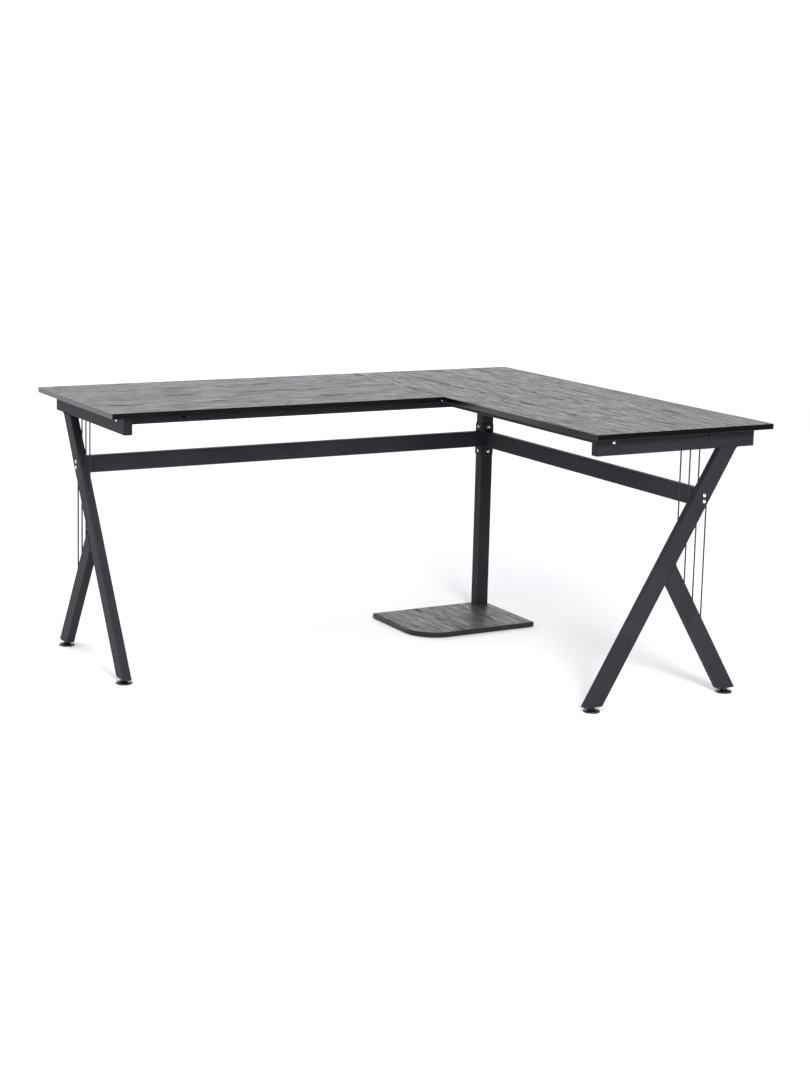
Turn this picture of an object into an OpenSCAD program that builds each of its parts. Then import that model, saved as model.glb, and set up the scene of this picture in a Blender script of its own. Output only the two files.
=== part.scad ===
// Corner desk: two boards in an L, two K-shaped tube frames, a corner post and a floor shelf.
// +X runs along the long wing towards the corner, +Y towards the wall behind it, +Z up.
// The return wing runs towards -Y along the +X side. The origin is on the floor, under the middle.

/* [Desk] */
// Length of the long wing along its wall edge
desk_l = 1600; // [1350:10:2000]
// Length of the return wing along its wall edge
return_l = 1350; // [1150:10:1800]
// Height of the work surface, with the feet screwed right in
desk_h = 755; // [650:5:920]
// Depth of both wings
wing_d = 580; // [500:5:720]

/* [Boards] */
// Thickness of the tops and of the shelf
board_t = 15; // [12.5:0.5:25]
// Thickness of the edge band
band_t = 1; // [0.4:0.1:3]
// Hairline gap between the two tops at the seam
seam_gap = 0.4; // [0:0.1:2]
// Length of the shelf along X
shelf_l = 405; // [300:5:500]
// Depth of the shelf along Y
shelf_d = 300; // [220:5:400]
// Radius of the shelf's open corner
shelf_r = 100; // [20:5:150]
// Thickness of the pads under the shelf
shelf_pad_h = 2; // [1:0.5:6]
// Radius of the pads under the shelf
shelf_pad_r = 10; // [6:1:15]

/* [Frame tubes] */
// Wall of every tube
wall = 1.5; // [1:0.1:2.5]
// Outer corner radius of the frame tubes
tube_r = 3; // [2.6:0.1:5]
// Depth of the frame tubes, across the frame's plane
tube_d = 25; // [20:1:35]
// Height of the top rails of the side frames
rail_h = 50; // [35:1:60]
// Width of the legs, square to their length
leg_w = 48; // [35:1:60]
// Gap from a top's end to the side frame's outer face
frame_inset = 44; // [10:1:80]
// Gap from the wall edge to the back end of a top rail
rail_back = 30; // [10:1:50]
// Gap from the front edge to the front end of a top rail
rail_front = 30; // [10:1:60]
// Distance from the wall edge to the long leg's middle, where it meets the rail
leg_top = 114; // [95:1:150]
// Distance from the front edge to the middle of the front foot
front_foot = 55; // [45:1:90]
// Distance from the wall edge to the middle of the back foot
back_foot = 79; // [50:1:110]
// Diameter of the upright rods in the side frames
rod_d = 4; // [3:0.5:8]
// Distance from the wall edge to the first rod
rod_first = 173; // [165:1:185]
// Distance from one rod to the next
rod_pitch = 31; // [24:1:33]
// Thickness of the end plugs' flange
plug_t = 2.5; // [1:0.5:5]

/* [Stretchers and post] */
// Height of the stretcher tubes
stretcher_h = 48; // [35:1:60]
// How far the long leg's middle runs in front of the stretchers' middle, at their height
stretcher_ahead = 6; // [0:0.5:9]
// Distance from the wall edge to the stretchers' middle
stretcher_in = 190; // [175:1:215]
// Side of the corner post
post_w = 40; // [32:1:60]
// Outer corner radius of the post
post_r = 4; // [2.6:0.1:8]
// Thickness of the end plates and of the post's top plate
plate_t = 3; // [2:0.5:6]
// Height of the stretchers' end plates at the post
end_plate_h = 100; // [90:1:140]
// Distance between the two bolts of an end plate
end_bolt_gap = 77; // [72:1:84]
// Distance between the two bolts through a leg
leg_bolt_gap = 16.4; // [14:0.2:22]
// How far the post's top plate stands out past the post
top_plate_rim = 22; // [18:1:40]
// How far the shelf stands out past the post at the back
shelf_back = 2; // [0:1:20]
// How far the shelf stands out past the post at the side
shelf_side = 6; // [0:1:20]

/* [Rails under the fronts] */
// Height of the front rails
front_h = 28; // [24:1:40]
// Depth of the front rails
front_d = 25; // [20:1:35]
// Distance from a top's front edge to the front rail's middle
front_in = 84; // [60:1:110]
// How far the long rail runs on under the return top, past the return rail
front_run_on = 180; // [120:5:260]
// Diameter of the hanging holes
hang_d = 8; // [4:0.5:12]

/* [Feet] */
// Gap from the floor to the legs, filled by the feet
foot_h = 14; // [12:0.5:20]
// Radius of a foot pad
pad_r = 23; // [18:0.5:28]
// Radius of the threaded stem
stem_r = 4; // [3:0.5:5]
// Length of the stem above the foot of the leg
stem_in = 24; // [20:1:27]

/* [Fasteners] */
// Radius of the bolts' shanks
bolt_r = 3; // [2.5:0.5:4]
// Radius of the bolts' heads
head_r = 5.25; // [4.5:0.25:7]
// Radius of the wood screws' shanks
screw_r = 2; // [1.5:0.25:2.5]
// Depth that a wood screw goes into a board
screw_bite = 11; // [8:1:11]
// Clearance round a screw or a bolt, and of what fits inside a tube
fit = 0.05; // [0.02:0.01:0.1]

/* [Hidden] */
$fn = 48;

// Overall places
left = -desk_l / 2;
right = desk_l / 2;
wall_y = return_l / 2;
near_y = -return_l / 2;
underside = desk_h - board_t;
seam_x = right - wing_d;
rail_bottom = underside - rail_h;
inner_face = frame_inset + tube_d;
reach = desk_h + wing_d;

// Lean of the legs from the vertical, the same for both
lean = atan2(wing_d - front_foot - leg_top, rail_bottom - foot_h);
stretcher_z = rail_bottom - (stretcher_in + stretcher_ahead - leg_top) / tan(lean);

// Post and shelf
post_x = right - stretcher_in;
post_y = wall_y - stretcher_in;
top_plate_w = post_w + 2 * top_plate_rim;
shelf_top = shelf_pad_h + board_t;
shelf_x1 = post_x + post_w / 2 + shelf_side;
shelf_y1 = post_y + post_w / 2 + shelf_back;

// Front rails: where their middles run
front_z = underside - front_h / 2;
front_y = wall_y - wing_d + front_in;
front_x = seam_x + front_in;

// Bolt and screw heads
head_h = 3.3;
dome_drop = 2.5;
dome_r = (head_r * head_r + dome_drop * dome_drop) / (2 * dome_drop);
socket_r = 2.3;
socket_deep = 1.8;
screw_head_r = 4.2;
screw_head_h = 2.4;
access_r = 6;
bolt_hole_r = bolt_r + 0.3;
block_t = 8;
nut_strip_t = 4;
nut_strip_w = 16;
seam_plate = [120, 40, 2.5];
seam_plate_places = [120, 330];
plug_stub = 14;
bracket_leg = 40;
bracket_t = 3;
top_screw_in = 10;
end_screw_in = 30;
front_screw_in = 60;
hang_in = 168;
hang_drop = 11;
tiny = 0.5;

// Feet
stem_collar_h = 2.6;
pad_top = foot_h - stem_collar_h - 0.3;
pad_neck_r = 9;
pad_edge_h = 3.5;
socket_floor = 4;

// ---------- shapes that repeat ----------

module rounded_rect(w, h, r) {
    square([w - 2 * r, h], center = true);
    square([w, h - 2 * r], center = true);
    for (x = [-1, 1], y = [-1, 1])
        translate([x * (w / 2 - r), y * (h / 2 - r)])
            circle(r);
}

// A tube along +Z from z = 0
module tube(w, h, r, length) {
    linear_extrude(length)
        difference() {
            rounded_rect(w, h, r);
            rounded_rect(w - 2 * wall, h - 2 * wall, r - wall);
        }
}

// The bar that would fill a tube's inside
module core(w, h, r, length) {
    linear_extrude(length)
        rounded_rect(w - 2 * wall - 2 * fit, h - 2 * wall - 2 * fit, r - wall);
}

// A button-head bolt with its seat at z = 0, its head above and its shank below
module bolt(shank) {
    difference() {
        intersection() {
            cylinder(h = head_h, r = head_r);
            translate([0, 0, head_h - dome_r])
                sphere(dome_r);
        }
        translate([0, 0, head_h - socket_deep])
            cylinder(h = socket_deep + tiny, r = socket_r, $fn = 6);
    }
    translate([0, 0, -shank])
        cylinder(h = shank + tiny, r = bolt_r);
}

// A wood screw that bites upwards into a board, with its head's seat `grip` below the board
module screw(grip) {
    translate([0, 0, -grip])
        cylinder(h = grip + screw_bite - 3, r = screw_r);
    translate([0, 0, screw_bite - 3])
        cylinder(h = 3, r1 = screw_r, r2 = 0.5);
    difference() {
        translate([0, 0, -grip - screw_head_h])
            cylinder(h = screw_head_h, r1 = screw_head_r - 0.8, r2 = screw_head_r);
        for (a = [0, 90])
            rotate(a)
                translate([-2.4, -0.5, -grip - screw_head_h - tiny])
                    cube([4.8, 1, 1.3 + tiny]);
    }
}

// The hole that a wood screw makes in a board, from the board's underside
module pilot() {
    translate([0, 0, -tiny])
        cylinder(h = screw_bite + 1 + tiny, r = screw_r + fit);
}

// ---------- places ----------

// A side frame is drawn with X as the distance from the wall edge and Y inwards from its outer face
module at_left() {
    translate([left + frame_inset, wall_y, 0])
        rotate([0, 0, -90])
            children();
}

module at_right() {
    translate([right, near_y + frame_inset, 0])
        mirror([1, 0, 0])
            children();
}

// Along the long leg's axis, from where it meets the rail
module on_long_leg() {
    translate([leg_top, tube_d / 2, rail_bottom])
        rotate([0, -lean, 0])
            children();
}

// Along the short leg's axis, from its foot
module on_short_leg() {
    translate([back_foot, tube_d / 2, foot_h])
        rotate([0, lean, 0])
            children();
}

// A slab square to a leg, from a to b across it, for cuts
module zone(a, b) {
    translate([a, -reach, -2 * reach])
        cube([b - a, 2 * reach, 4 * reach]);
}

module between_levels(z0, z1) {
    translate([-reach, -reach, z0])
        cube([3 * reach, 2 * reach, z1 - z0]);
}

// Distances from the wall edge of the screws that hold a top on its side rail
rail_screws = [rail_back + end_screw_in, wing_d / 2, wing_d - rail_front - end_screw_in];
// Places of the screws along the long front rail on each side of the seam, and along the return one
long_side_screws = [left + inner_face + front_screw_in, (left + seam_x) / 2, seam_x - front_screw_in];
run_on_screw = front_x + front_run_on - 40;
return_rail_screws = [near_y + inner_face + front_screw_in, (near_y + front_y) / 2, front_y - 75];

// ---------- boards ----------

module board_screws_long() {
    for (u = rail_screws)
        translate([left + frame_inset + tube_d / 2, wall_y - u, underside])
            children();
    for (x = long_side_screws)
        translate([x, front_y, underside])
            children();
}

module board_screws_return() {
    for (u = rail_screws)
        translate([right - u, near_y + frame_inset + tube_d / 2, underside])
            children();
    translate([run_on_screw, front_y, underside])
        children();
    for (y = return_rail_screws)
        translate([front_x, y, underside])
            children();
    post_plate_places()
        children();
}

module seam_screw_places() {
    x1 = seam_plate.x / 2 - 15;
    y1 = seam_plate.y / 2 - 10;
    for (v = seam_plate_places, x = [-1, 1], y = [-1, 1])
        translate([seam_x + x * x1, wall_y - v + y * y1, underside])
            children();
}

module post_plate_places() {
    out = top_plate_w / 2 - top_screw_in;
    for (x = [-1, 1], y = [-1, 1])
        translate([post_x + x * out, post_y + y * out, underside])
            children();
}

// A board of size w by d from its corner (x, y), drawn in by `inset` and run past both faces by `past`
module slab(x, y, w, d, inset, past = 0) {
    translate([x + inset, y + inset, underside - past])
        cube([w - 2 * inset, d - 2 * inset, board_t + 2 * past]);
}

module band(x, y, w, d) {
    difference() {
        slab(x, y, w, d, 0);
        slab(x, y, w, d, band_t, tiny);
    }
}

module seam_pin_place() {
    translate([seam_x - 5, wall_y - wing_d, underside + 4])
        rotate([90, 0, 0])
            children();
}

module long_top() {
    color("dimgray")
        difference() {
            slab(left, wall_y - wing_d, desk_l - wing_d - seam_gap, wing_d, band_t);
            board_screws_long()
                pilot();
            seam_screw_places()
                pilot();
            seam_pin_place()
                translate([0, 0, -9])
                    cylinder(h = 10, r = 1 + fit);
        }
}

module return_top() {
    color("dimgray")
        difference() {
            slab(seam_x, near_y, wing_d, return_l, band_t);
            board_screws_return()
                pilot();
            seam_screw_places()
                pilot();
        }
}

module long_top_band() {
    color("black")
        difference() {
            band(left, wall_y - wing_d, desk_l - wing_d - seam_gap, wing_d);
            seam_pin_place()
                translate([0, 0, -9])
                    cylinder(h = 10, r = 1 + fit);
        }
}

module return_top_band() {
    color("black")
        band(seam_x, near_y, wing_d, return_l);
}

// Small bright pin at the inner corner, in the long top's front edge
module seam_pin() {
    color("silver")
        seam_pin_place() {
            translate([0, 0, -8])
                cylinder(h = 8 + tiny, r = 1);
            cylinder(h = 0.9, r1 = 2.4, r2 = 1.8);
        }
}

module seam_plates() {
    color("silver")
        difference() {
            for (v = seam_plate_places)
                translate([seam_x, wall_y - v, underside - seam_plate.z / 2])
                    cube(seam_plate, center = true);
            seam_screw_places()
                translate([0, 0, -seam_plate.z - tiny])
                    cylinder(h = seam_plate.z + 2 * tiny, r = screw_r + fit);
        }
}

module seam_screws() {
    color("silver")
        seam_screw_places()
            screw(seam_plate.z);
}

// ---------- side frames ----------

module frame_rail() {
    difference() {
        translate([rail_back + plug_t, tube_d / 2, underside - rail_h / 2])
            rotate([0, 90, 0])
                tube(rail_h, tube_d, tube_r, wing_d - rail_back - rail_front - 2 * plug_t);
        for (u = rail_screws)
            translate([u, tube_d / 2, 0]) {
                translate([0, 0, underside - wall - tiny])
                    cylinder(h = wall + 2 * tiny, r = screw_r + fit);
                translate([0, 0, rail_bottom - tiny])
                    cylinder(h = wall + 2 * tiny, r = access_r);
            }
        translate([wing_d - front_in, -tiny, front_z])
            rotate([-90, 0, 0])
                cylinder(h = tube_d + 2 * tiny, r = bolt_hole_r);
        translate([stretcher_in - 5, -tiny, underside - hang_drop])
            rotate([-90, 0, 0])
                cylinder(h = wall + 2 * tiny, r = hang_d / 2);
    }
}

module frame_long_leg() {
    difference() {
        intersection() {
            on_long_leg()
                translate([0, 0, -reach])
                    tube(leg_w, tube_d, tube_r, 2 * reach);
            between_levels(foot_h, rail_bottom);
        }
        for (z = [-1, 1])
            translate([stretcher_in, -tiny, stretcher_z + z * leg_bolt_gap / 2])
                rotate([-90, 0, 0])
                    cylinder(h = tube_d + 2 * tiny, r = bolt_hole_r);
    }
}

module frame_short_leg() {
    difference() {
        intersection() {
            on_short_leg()
                translate([0, 0, -reach])
                    tube(leg_w, tube_d, tube_r, 2 * reach);
            between_levels(foot_h, rail_bottom);
        }
        on_long_leg()
            zone(-leg_w / 2, reach);
    }
}

module rod(i) {
    translate([rod_first + i * rod_pitch, tube_d / 2, foot_h])
        cylinder(h = rail_bottom - foot_h, r = rod_d / 2);
}

// Three rods hang from the rail to the long leg, and three run on below it to the short leg
module frame_rods() {
    difference() {
        for (i = [1 : 3])
            rod(i);
        on_long_leg()
            zone(-reach, leg_w / 2);
    }
    difference() {
        for (i = [0 : 2])
            rod(i);
        on_long_leg()
            zone(-leg_w / 2, reach);
        on_short_leg()
            zone(-leg_w / 2, reach);
    }
}

module frame_plugs() {
    for (e = [[rail_back, 1], [wing_d - rail_front, -1]])
        translate([e[0], tube_d / 2, underside - rail_h / 2])
            rotate([0, 90 * e[1], 0]) {
                linear_extrude(plug_t)
                    rounded_rect(rail_h, tube_d, tube_r);
                core(rail_h, tube_d, tube_r, plug_stub);
            }
}

// Threaded blocks that fill the legs' feet
module frame_leg_blocks() {
    difference() {
        intersection() {
            union() {
                on_long_leg()
                    translate([0, 0, -reach])
                        core(leg_w, tube_d, tube_r, 2 * reach);
                on_short_leg()
                    translate([0, 0, -reach])
                        core(leg_w, tube_d, tube_r, 2 * reach);
            }
            between_levels(foot_h, foot_h + block_t);
        }
        for (u = [back_foot, wing_d - front_foot])
            translate([u, tube_d / 2, foot_h - tiny])
                cylinder(h = block_t + 2 * tiny, r = stem_r + fit);
    }
}

module frame_screws() {
    for (u = rail_screws)
        translate([u, tube_d / 2, underside])
            screw(wall);
}

module left_top_rail() { color("#2b2c30") at_left() frame_rail(); }
module right_top_rail() { color("#2b2c30") at_right() frame_rail(); }
module left_long_leg() { color("#2b2c30") at_left() frame_long_leg(); }
module right_long_leg() { color("#2b2c30") at_right() frame_long_leg(); }
module left_short_leg() { color("#2b2c30") at_left() frame_short_leg(); }
module right_short_leg() { color("#2b2c30") at_right() frame_short_leg(); }
module left_rods() { color("#45464a") at_left() frame_rods(); }
module right_rods() { color("#45464a") at_right() frame_rods(); }
module left_rail_plugs() { color("#1e1e20") at_left() frame_plugs(); }
module right_rail_plugs() { color("#1e1e20") at_right() frame_plugs(); }
module left_leg_blocks() { color("#55575c") at_left() frame_leg_blocks(); }
module right_leg_blocks() { color("#55575c") at_right() frame_leg_blocks(); }
module left_rail_screws() { color("silver") at_left() frame_screws(); }
module right_rail_screws() { color("silver") at_right() frame_screws(); }

// ---------- rails under the front edges ----------

long_rail_screws = concat(long_side_screws, [run_on_screw]);

// A front rail along +X from x = 0, with screw holes at the places given along it
module front_tube(length, screws, hang) {
    difference() {
        rotate([0, 90, 0])
            tube(front_h, front_d, tube_r, length);
        for (s = screws)
            translate([s, 0, 0]) {
                translate([0, 0, front_h / 2 - wall - tiny])
                    cylinder(h = wall + 2 * tiny, r = screw_r + fit);
                translate([0, 0, -front_h / 2 - tiny])
                    cylinder(h = wall + 2 * tiny, r = access_r);
            }
        for (s = hang)
            translate([s, -front_d / 2 - tiny, 0])
                rotate([-90, 0, 0])
                    cylinder(h = wall + 2 * tiny, r = hang_d / 2);
    }
}

// The bracket's bolts: one into the long rail and one into the return rail
bracket_bolt = front_d / 2 + bracket_leg - 14;

module bracket_holes(r, deep) {
    translate([front_x + bracket_bolt, front_y - front_d / 2 - bracket_t, front_z])
        rotate([90, 0, 0])
            translate([0, 0, -deep])
                cylinder(h = deep + tiny, r = r);
    translate([front_x + front_d / 2 + bracket_t, front_y - bracket_bolt, front_z])
        rotate([0, 90, 0])
            translate([0, 0, -deep])
                cylinder(h = deep + tiny, r = r);
}

module long_front_rail() {
    x0 = left + inner_face;
    color("#232428")
        difference() {
            translate([x0, front_y, front_z])
                front_tube(
                    front_x + front_d / 2 + front_run_on - plug_t - x0,
                    [for (p = long_rail_screws) p - x0],
                    [hang_in]
                );
            bracket_holes(bolt_r + fit, bracket_t + wall + tiny);
        }
}

module return_front_rail() {
    y0 = near_y + inner_face;
    color("#232428")
        difference() {
            translate([front_x, y0, front_z])
                rotate([0, 0, 90])
                    mirror([0, 1, 0])
                        front_tube(
                            front_y - front_d / 2 - y0,
                            [for (p = return_rail_screws) p - y0],
                            [hang_in]
                        );
            bracket_holes(bolt_r + fit, bracket_t + wall + tiny);
        }
}

module front_block() {
    difference() {
        rotate([0, 90, 0])
            core(front_h, front_d, tube_r, block_t);
        rotate([0, 90, 0])
            translate([0, 0, -tiny])
                cylinder(h = block_t + 2 * tiny, r = bolt_r + fit);
    }
}

// Threaded blocks in the front rails' outer ends
module front_rail_blocks() {
    color("#55575c") {
        translate([left + inner_face, front_y, front_z])
            front_block();
        translate([front_x, near_y + inner_face, front_z])
            rotate([0, 0, 90])
                front_block();
    }
}

module front_rail_bolts() {
    color("silver") {
        translate([left + frame_inset, front_y, front_z])
            rotate([0, -90, 0])
                bolt(tube_d + block_t + 5);
        translate([front_x, near_y + frame_inset, front_z])
            rotate([90, 0, 0])
                bolt(tube_d + block_t + 5);
    }
}

module front_rail_screws() {
    color("silver") {
        for (x = long_rail_screws)
            translate([x, front_y, underside])
                screw(wall);
        for (y = return_rail_screws)
            translate([front_x, y, underside])
                screw(wall);
    }
}

module front_rail_plug() {
    color("#1e1e20")
        translate([front_x + front_d / 2 + front_run_on, front_y, front_z])
            rotate([0, -90, 0]) {
                linear_extrude(plug_t)
                    rounded_rect(front_h, front_d, tube_r);
                core(front_h, front_d, tube_r, plug_stub);
            }
}

module corner_bracket() {
    x0 = front_x + front_d / 2;
    y0 = front_y - front_d / 2;
    bracket_h = front_h - 6;
    color("#2b2c30")
        difference() {
            translate([x0, y0 - bracket_leg, front_z - bracket_h / 2]) {
                cube([bracket_t, bracket_leg, bracket_h]);
                translate([0, bracket_leg - bracket_t, 0])
                    cube([bracket_leg, bracket_t, bracket_h]);
            }
            bracket_holes(bolt_r + fit, bracket_t + tiny);
        }
}

module corner_bracket_bolts() {
    color("silver") {
        translate([front_x + bracket_bolt, front_y - front_d / 2 - bracket_t, front_z])
            rotate([90, 0, 0])
                bolt(bracket_t + 10);
        translate([front_x + front_d / 2 + bracket_t, front_y - bracket_bolt, front_z])
            rotate([0, 90, 0])
                bolt(bracket_t + 10);
    }
}

// ---------- stretchers and post ----------

module long_stretcher() {
    color("#2b2c30")
        translate([left + inner_face, post_y, stretcher_z])
            rotate([0, 90, 0])
                tube(stretcher_h, tube_d, tube_r, post_x - post_w / 2 - plate_t - left - inner_face);
}

module return_stretcher() {
    color("#2b2c30")
        translate([post_x, near_y + inner_face, stretcher_z])
            rotate([-90, 0, 0])
                tube(tube_d, stretcher_h, tube_r, post_y - post_w / 2 - plate_t - near_y - inner_face);
}

// A stretcher's end plate, seen from its bolts: the post is behind it, towards +Z
module end_plate() {
    difference() {
        linear_extrude(plate_t)
            rounded_rect(end_plate_h, post_w - 4, tube_r);
        for (x = [-1, 1])
            translate([x * end_bolt_gap / 2, 0, -tiny])
                cylinder(h = plate_t + 2 * tiny, r = bolt_r + fit);
    }
}

// Towards the post from its -X face, and from its -Y face
module at_post_side() {
    translate([post_x - post_w / 2, post_y, stretcher_z])
        rotate([0, 90, 0])
            children();
}

module at_post_front() {
    translate([post_x, post_y - post_w / 2, stretcher_z])
        rotate([0, 0, 90])
            rotate([0, 90, 0])
                children();
}

module long_end_plate() {
    color("#2b2c30")
        at_post_side()
            translate([0, 0, -plate_t])
                end_plate();
}

module return_end_plate() {
    color("#2b2c30")
        at_post_front()
            translate([0, 0, -plate_t])
                end_plate();
}

module stretcher_block() {
    difference() {
        core(stretcher_h, tube_d, tube_r, block_t);
        for (x = [-1, 1])
            translate([x * leg_bolt_gap / 2, 0, -tiny])
                cylinder(h = block_t + 2 * tiny, r = bolt_r + fit);
    }
}

// Threaded blocks in the stretchers' ends at the legs
module stretcher_blocks() {
    color("#55575c") {
        translate([left + inner_face, post_y, stretcher_z])
            rotate([0, 90, 0])
                stretcher_block();
        translate([post_x, near_y + inner_face, stretcher_z])
            rotate([0, 0, 90])
                rotate([0, 90, 0])
                    stretcher_block();
    }
}

module leg_bolts() {
    color("silver")
        for (z = [-1, 1]) {
            translate([left + frame_inset, post_y, stretcher_z + z * leg_bolt_gap / 2])
                rotate([0, -90, 0])
                    bolt(tube_d + block_t + 4);
            translate([post_x, near_y + frame_inset, stretcher_z + z * leg_bolt_gap / 2])
                rotate([90, 0, 0])
                    bolt(tube_d + block_t + 4);
        }
}

module post_bolt_holes() {
    for (x = [-1, 1])
        translate([x * end_bolt_gap / 2, 0, -tiny])
            cylinder(h = wall + 2 * tiny, r = bolt_r + fit);
}

module corner_post() {
    color("#2b2c30")
        difference() {
            translate([post_x, post_y, shelf_top])
                tube(post_w, post_w, post_r, underside - plate_t - shelf_top);
            at_post_side()
                post_bolt_holes();
            at_post_front()
                post_bolt_holes();
        }
}

// A threaded strip behind each bolted wall of the post
module nut_strip() {
    difference() {
        translate([-end_plate_h / 2, -nut_strip_w / 2, wall])
            cube([end_plate_h, nut_strip_w, nut_strip_t]);
        for (x = [-1, 1])
            translate([x * end_bolt_gap / 2, 0, wall - tiny])
                cylinder(h = nut_strip_t + 2 * tiny, r = bolt_r + fit);
    }
}

module post_nut_strips() {
    color("#55575c") {
        at_post_side()
            nut_strip();
        at_post_front()
            nut_strip();
    }
}

module post_bolt_pair() {
    for (x = [-1, 1])
        translate([x * end_bolt_gap / 2, 0, -plate_t])
            mirror([0, 0, 1])
                bolt(plate_t + wall + nut_strip_t + 2);
}

module post_bolts() {
    color("silver") {
        at_post_side()
            post_bolt_pair();
        at_post_front()
            post_bolt_pair();
    }
}

module post_top_plate() {
    color("#2b2c30")
        difference() {
            translate([post_x, post_y, underside - plate_t])
                linear_extrude(plate_t)
                    rounded_rect(top_plate_w, top_plate_w, 2 * post_r);
            post_plate_places()
                translate([0, 0, -plate_t - tiny])
                    cylinder(h = plate_t + 2 * tiny, r = screw_r + fit);
        }
}

module post_top_screws() {
    color("silver")
        post_plate_places()
            screw(plate_t);
}

// ---------- shelf ----------

shelf_bolt_gap = 18;
shelf_bolt_head_r = 5.5;
shelf_bolt_head_h = 3;

module shelf_outline(inset) {
    r = shelf_r - inset;
    translate([shelf_x1 - shelf_l, shelf_y1 - shelf_d]) {
        translate([inset, shelf_r])
            square([shelf_l - 2 * inset, shelf_d - shelf_r - inset]);
        translate([shelf_r, inset])
            square([shelf_l - shelf_r - inset, shelf_d - 2 * inset]);
        translate([shelf_r, shelf_r])
            circle(r, $fn = 96);
    }
}

module shelf_bolt_places() {
    for (x = [-1, 1])
        translate([post_x + x * shelf_bolt_gap / 2, post_y, shelf_pad_h])
            children();
}

module countersunk(extra) {
    cylinder(h = shelf_bolt_head_h, r1 = shelf_bolt_head_r + extra, r2 = bolt_r + extra);
    cylinder(h = board_t + block_t - 1, r = bolt_r + extra);
}

module shelf() {
    color("dimgray")
        difference() {
            translate([0, 0, shelf_pad_h])
                linear_extrude(board_t)
                    shelf_outline(band_t);
            shelf_bolt_places()
                countersunk(fit);
        }
}

module shelf_band() {
    color("black")
        translate([0, 0, shelf_pad_h])
            linear_extrude(board_t)
                difference() {
                    shelf_outline(0);
                    shelf_outline(band_t);
                }
}

module shelf_bolts() {
    color("silver")
        shelf_bolt_places()
            difference() {
                countersunk(0);
                translate([0, 0, -tiny])
                    cylinder(h = socket_deep + tiny, r = socket_r - 0.4, $fn = 6);
            }
}

module post_foot_block() {
    color("#55575c")
        difference() {
            translate([post_x, post_y, shelf_top])
                core(post_w, post_w, post_r, block_t);
            shelf_bolt_places()
                cylinder(h = board_t + block_t + tiny, r = bolt_r + fit);
        }
}

module shelf_pad() {
    cylinder(h = shelf_pad_h, r = shelf_pad_r);
}

module shelf_pads() {
    x0 = shelf_x1 - shelf_l;
    y0 = shelf_y1 - shelf_d;
    edge = 30;
    far = shelf_r * 0.6 + edge;
    color("#1e1e20") {
        translate([x0 + edge, shelf_y1 - edge])
            shelf_pad();
        translate([x0 + far, y0 + far])
            shelf_pad();
        translate([shelf_x1 - edge, y0 + edge])
            shelf_pad();
        translate([shelf_x1 - edge, shelf_y1 - edge - post_w])
            shelf_pad();
    }
}

// ---------- feet ----------

// A round pad that stays still on the floor while its stem turns in it
module foot_pad() {
    rotate_extrude()
        polygon([
            [0, 0], [pad_r - 1.5, 0], [pad_r, 1.2], [pad_r, pad_edge_h],
            [pad_r - 2, pad_edge_h + 1.2], [pad_neck_r, pad_top - 1], [pad_neck_r, pad_top],
            [stem_r + fit, pad_top], [stem_r + fit, socket_floor], [0, socket_floor],
        ]);
}

// A threaded stem with a hexagon collar to turn it by
module foot_stem() {
    translate([0, 0, socket_floor + 0.2])
        cylinder(h = foot_h + stem_in - socket_floor - 0.2, r = stem_r);
    translate([0, 0, pad_top + 0.1])
        cylinder(h = stem_collar_h, r = stem_r + 3.5, $fn = 6);
}

module front_foot_place() {
    translate([wing_d - front_foot, tube_d / 2, 0])
        children();
}

module back_foot_place() {
    translate([back_foot, tube_d / 2, 0])
        children();
}

module left_front_pad() { color("#141416") at_left() front_foot_place() foot_pad(); }
module left_back_pad() { color("#141416") at_left() back_foot_place() foot_pad(); }
module right_front_pad() { color("#141416") at_right() front_foot_place() foot_pad(); }
module right_back_pad() { color("#141416") at_right() back_foot_place() foot_pad(); }
module left_front_stem() { color("silver") at_left() front_foot_place() foot_stem(); }
module left_back_stem() { color("silver") at_left() back_foot_place() foot_stem(); }
module right_front_stem() { color("silver") at_right() front_foot_place() foot_stem(); }
module right_back_stem() { color("silver") at_right() back_foot_place() foot_stem(); }

long_top();
return_top();
long_top_band();
return_top_band();
seam_plates();
seam_screws();
seam_pin();
left_top_rail();
right_top_rail();
left_long_leg();
right_long_leg();
left_short_leg();
right_short_leg();
left_rods();
right_rods();
left_rail_plugs();
right_rail_plugs();
left_leg_blocks();
right_leg_blocks();
left_rail_screws();
right_rail_screws();
long_front_rail();
return_front_rail();
front_rail_blocks();
front_rail_bolts();
front_rail_screws();
front_rail_plug();
corner_bracket();
corner_bracket_bolts();
long_stretcher();
return_stretcher();
long_end_plate();
return_end_plate();
stretcher_blocks();
leg_bolts();
corner_post();
post_nut_strips();
post_bolts();
post_top_plate();
post_top_screws();
post_foot_block();
shelf();
shelf_band();
shelf_bolts();
shelf_pads();
left_front_pad();
left_back_pad();
right_front_pad();
right_back_pad();
left_front_stem();
left_back_stem();
right_front_stem();
right_back_stem();
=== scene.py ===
"""Corner desk: woodgrain boards on charcoal tube frames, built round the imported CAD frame."""

import math
from functools import partial

import bmesh
import bpy
import numpy as np
from mathutils import Matrix, Vector


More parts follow.
